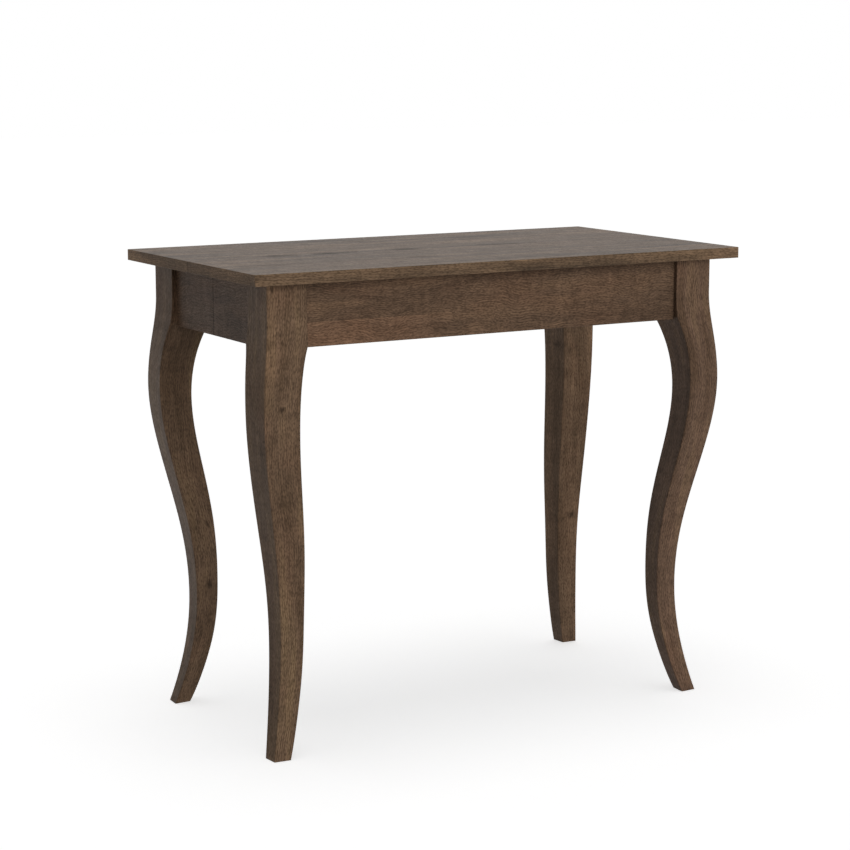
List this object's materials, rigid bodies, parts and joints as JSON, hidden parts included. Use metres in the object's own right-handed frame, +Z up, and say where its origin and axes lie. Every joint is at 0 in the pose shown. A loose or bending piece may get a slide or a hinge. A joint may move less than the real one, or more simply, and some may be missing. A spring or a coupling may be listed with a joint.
{
  "type": "extendable console table",
  "caption": "Narrow oak-finish console table on cabriole legs; its front half draws out on telescopic slides to make room for leaves.",
  "frame": {"origin": "on the floor under the middle of the closed top", "axes": "+X along the length to the right, +Y to the back (wall side), +Z up"},
  "size_m": [0.9, 0.48, 0.77],
  "materials": {
    "top_oak": "dark smoked oak, satin",
    "apron_oak": "dark smoked oak, satin",
    "leg_oak": "dark smoked oak, satin",
    "slide_aluminium": "extruded, natural anodised",
    "key_nylon": "moulded, natural nylon",
    "dowel_beech": "turned, fluted beech",
    "bracket_zinc": "folded, zinc plated",
    "fastener_zinc": "zinc plated",
    "lock_steel": "stamped, zinc plated",
    "pin_steel": "turned, bright"
  },
  "bodies": {
    "rear_half": {"left_slide_1": "slide_aluminium", "lock_keepers": "lock_steel", "rear_apron": "apron_oak", "rear_dowels": "dowel_beech", "rear_left_corner_bracket": "bracket_zinc", "rear_left_leg": "leg_oak", "rear_left_side_apron": "apron_oak", "rear_leg_bolts": "fastener_zinc", "rear_leg_nuts": "fastener_zinc", "rear_right_corner_bracket": "bracket_zinc", "rear_right_leg": "leg_oak", "rear_right_side_apron": "apron_oak", "rear_screws": "fastener_zinc", "rear_slide_hangers": "bracket_zinc", "rear_top": "top_oak", "rear_top_cleats": "bracket_zinc", "right_slide_1": "slide_aluminium", "slide_keys_1": "key_nylon"},
    "front_half": {"front_apron": "apron_oak", "front_dowels": "dowel_beech", "front_left_corner_bracket": "bracket_zinc", "front_left_leg": "leg_oak", "front_left_side_apron": "apron_oak", "front_leg_bolts": "fastener_zinc", "front_leg_nuts": "fastener_zinc", "front_right_corner_bracket": "bracket_zinc", "front_right_leg": "leg_oak", "front_right_side_apron": "apron_oak", "front_screws": "fastener_zinc", "front_slide_hangers": "bracket_zinc", "front_top": "top_oak", "front_top_cleats": "bracket_zinc", "left_slide_7": "slide_aluminium", "lock_plates": "lock_steel", "right_slide_7": "slide_aluminium", "seam_pins": "pin_steel", "slide_keys_7": "key_nylon"},
    "slide_stage_2": {"left_slide_2": "slide_aluminium", "right_slide_2": "slide_aluminium", "slide_crossbar_2": "slide_aluminium", "slide_keys_2": "key_nylon"},
    "slide_stage_3": {"left_slide_3": "slide_aluminium", "right_slide_3": "slide_aluminium", "slide_crossbar_3": "slide_aluminium", "slide_keys_3": "key_nylon"},
    "slide_stage_4": {"left_slide_4": "slide_aluminium", "right_slide_4": "slide_aluminium", "slide_crossbar_4": "slide_aluminium", "slide_keys_4": "key_nylon"},
    "slide_stage_5": {"left_slide_5": "slide_aluminium", "right_slide_5": "slide_aluminium", "slide_crossbar_5": "slide_aluminium", "slide_keys_5": "key_nylon"},
    "slide_stage_6": {"left_slide_6": "slide_aluminium", "right_slide_6": "slide_aluminium", "slide_crossbar_6": "slide_aluminium", "slide_keys_6": "key_nylon"},
    "left_lock_lever": {"left_lock_lever": "lock_steel"},
    "right_lock_lever": {"right_lock_lever": "lock_steel"}
  },
  "joints": [
    {"name": "front_slide", "type": "slide", "parent": "rear_half", "child": "front_half", "axis": [0, -1, 0], "range_m": [0, 1.56]},
    {"name": "stage_2_slide", "type": "slide", "parent": "rear_half", "child": "slide_stage_2", "axis": [0, -1, 0], "range_m": [0, 0.26]},
    {"name": "stage_3_slide", "type": "slide", "parent": "rear_half", "child": "slide_stage_3", "axis": [0, -1, 0], "range_m": [0, 0.52]},
    {"name": "stage_4_slide", "type": "slide", "parent": "rear_half", "child": "slide_stage_4", "axis": [0, -1, 0], "range_m": [0, 0.78]},
    {"name": "stage_5_slide", "type": "slide", "parent": "rear_half", "child": "slide_stage_5", "axis": [0, -1, 0], "range_m": [0, 1.04]},
    {"name": "stage_6_slide", "type": "slide", "parent": "rear_half", "child": "slide_stage_6", "axis": [0, -1, 0], "range_m": [0, 1.3]},
    {"name": "left_lock_swing", "type": "hinge", "parent": "front_half", "child": "left_lock_lever", "pos_m": [-0.09071, -0.03, 0.745], "axis": [0, 0, -1], "range_deg": [0, 90]},
    {"name": "right_lock_swing", "type": "hinge", "parent": "front_half", "child": "right_lock_lever", "pos_m": [0.09071, -0.03, 0.745], "axis": [0, 0, 1], "range_deg": [0, 90]}
  ],
  "couplings": [
    {"joint": "stage_2_slide", "follows": "front_slide", "ratio": 0.16667},
    {"joint": "stage_3_slide", "follows": "front_slide", "ratio": 0.33333},
    {"joint": "stage_4_slide", "follows": "front_slide", "ratio": 0.5},
    {"joint": "stage_5_slide", "follows": "front_slide", "ratio": 0.66667},
    {"joint": "stage_6_slide", "follows": "front_slide", "ratio": 0.83333}
  ]
}
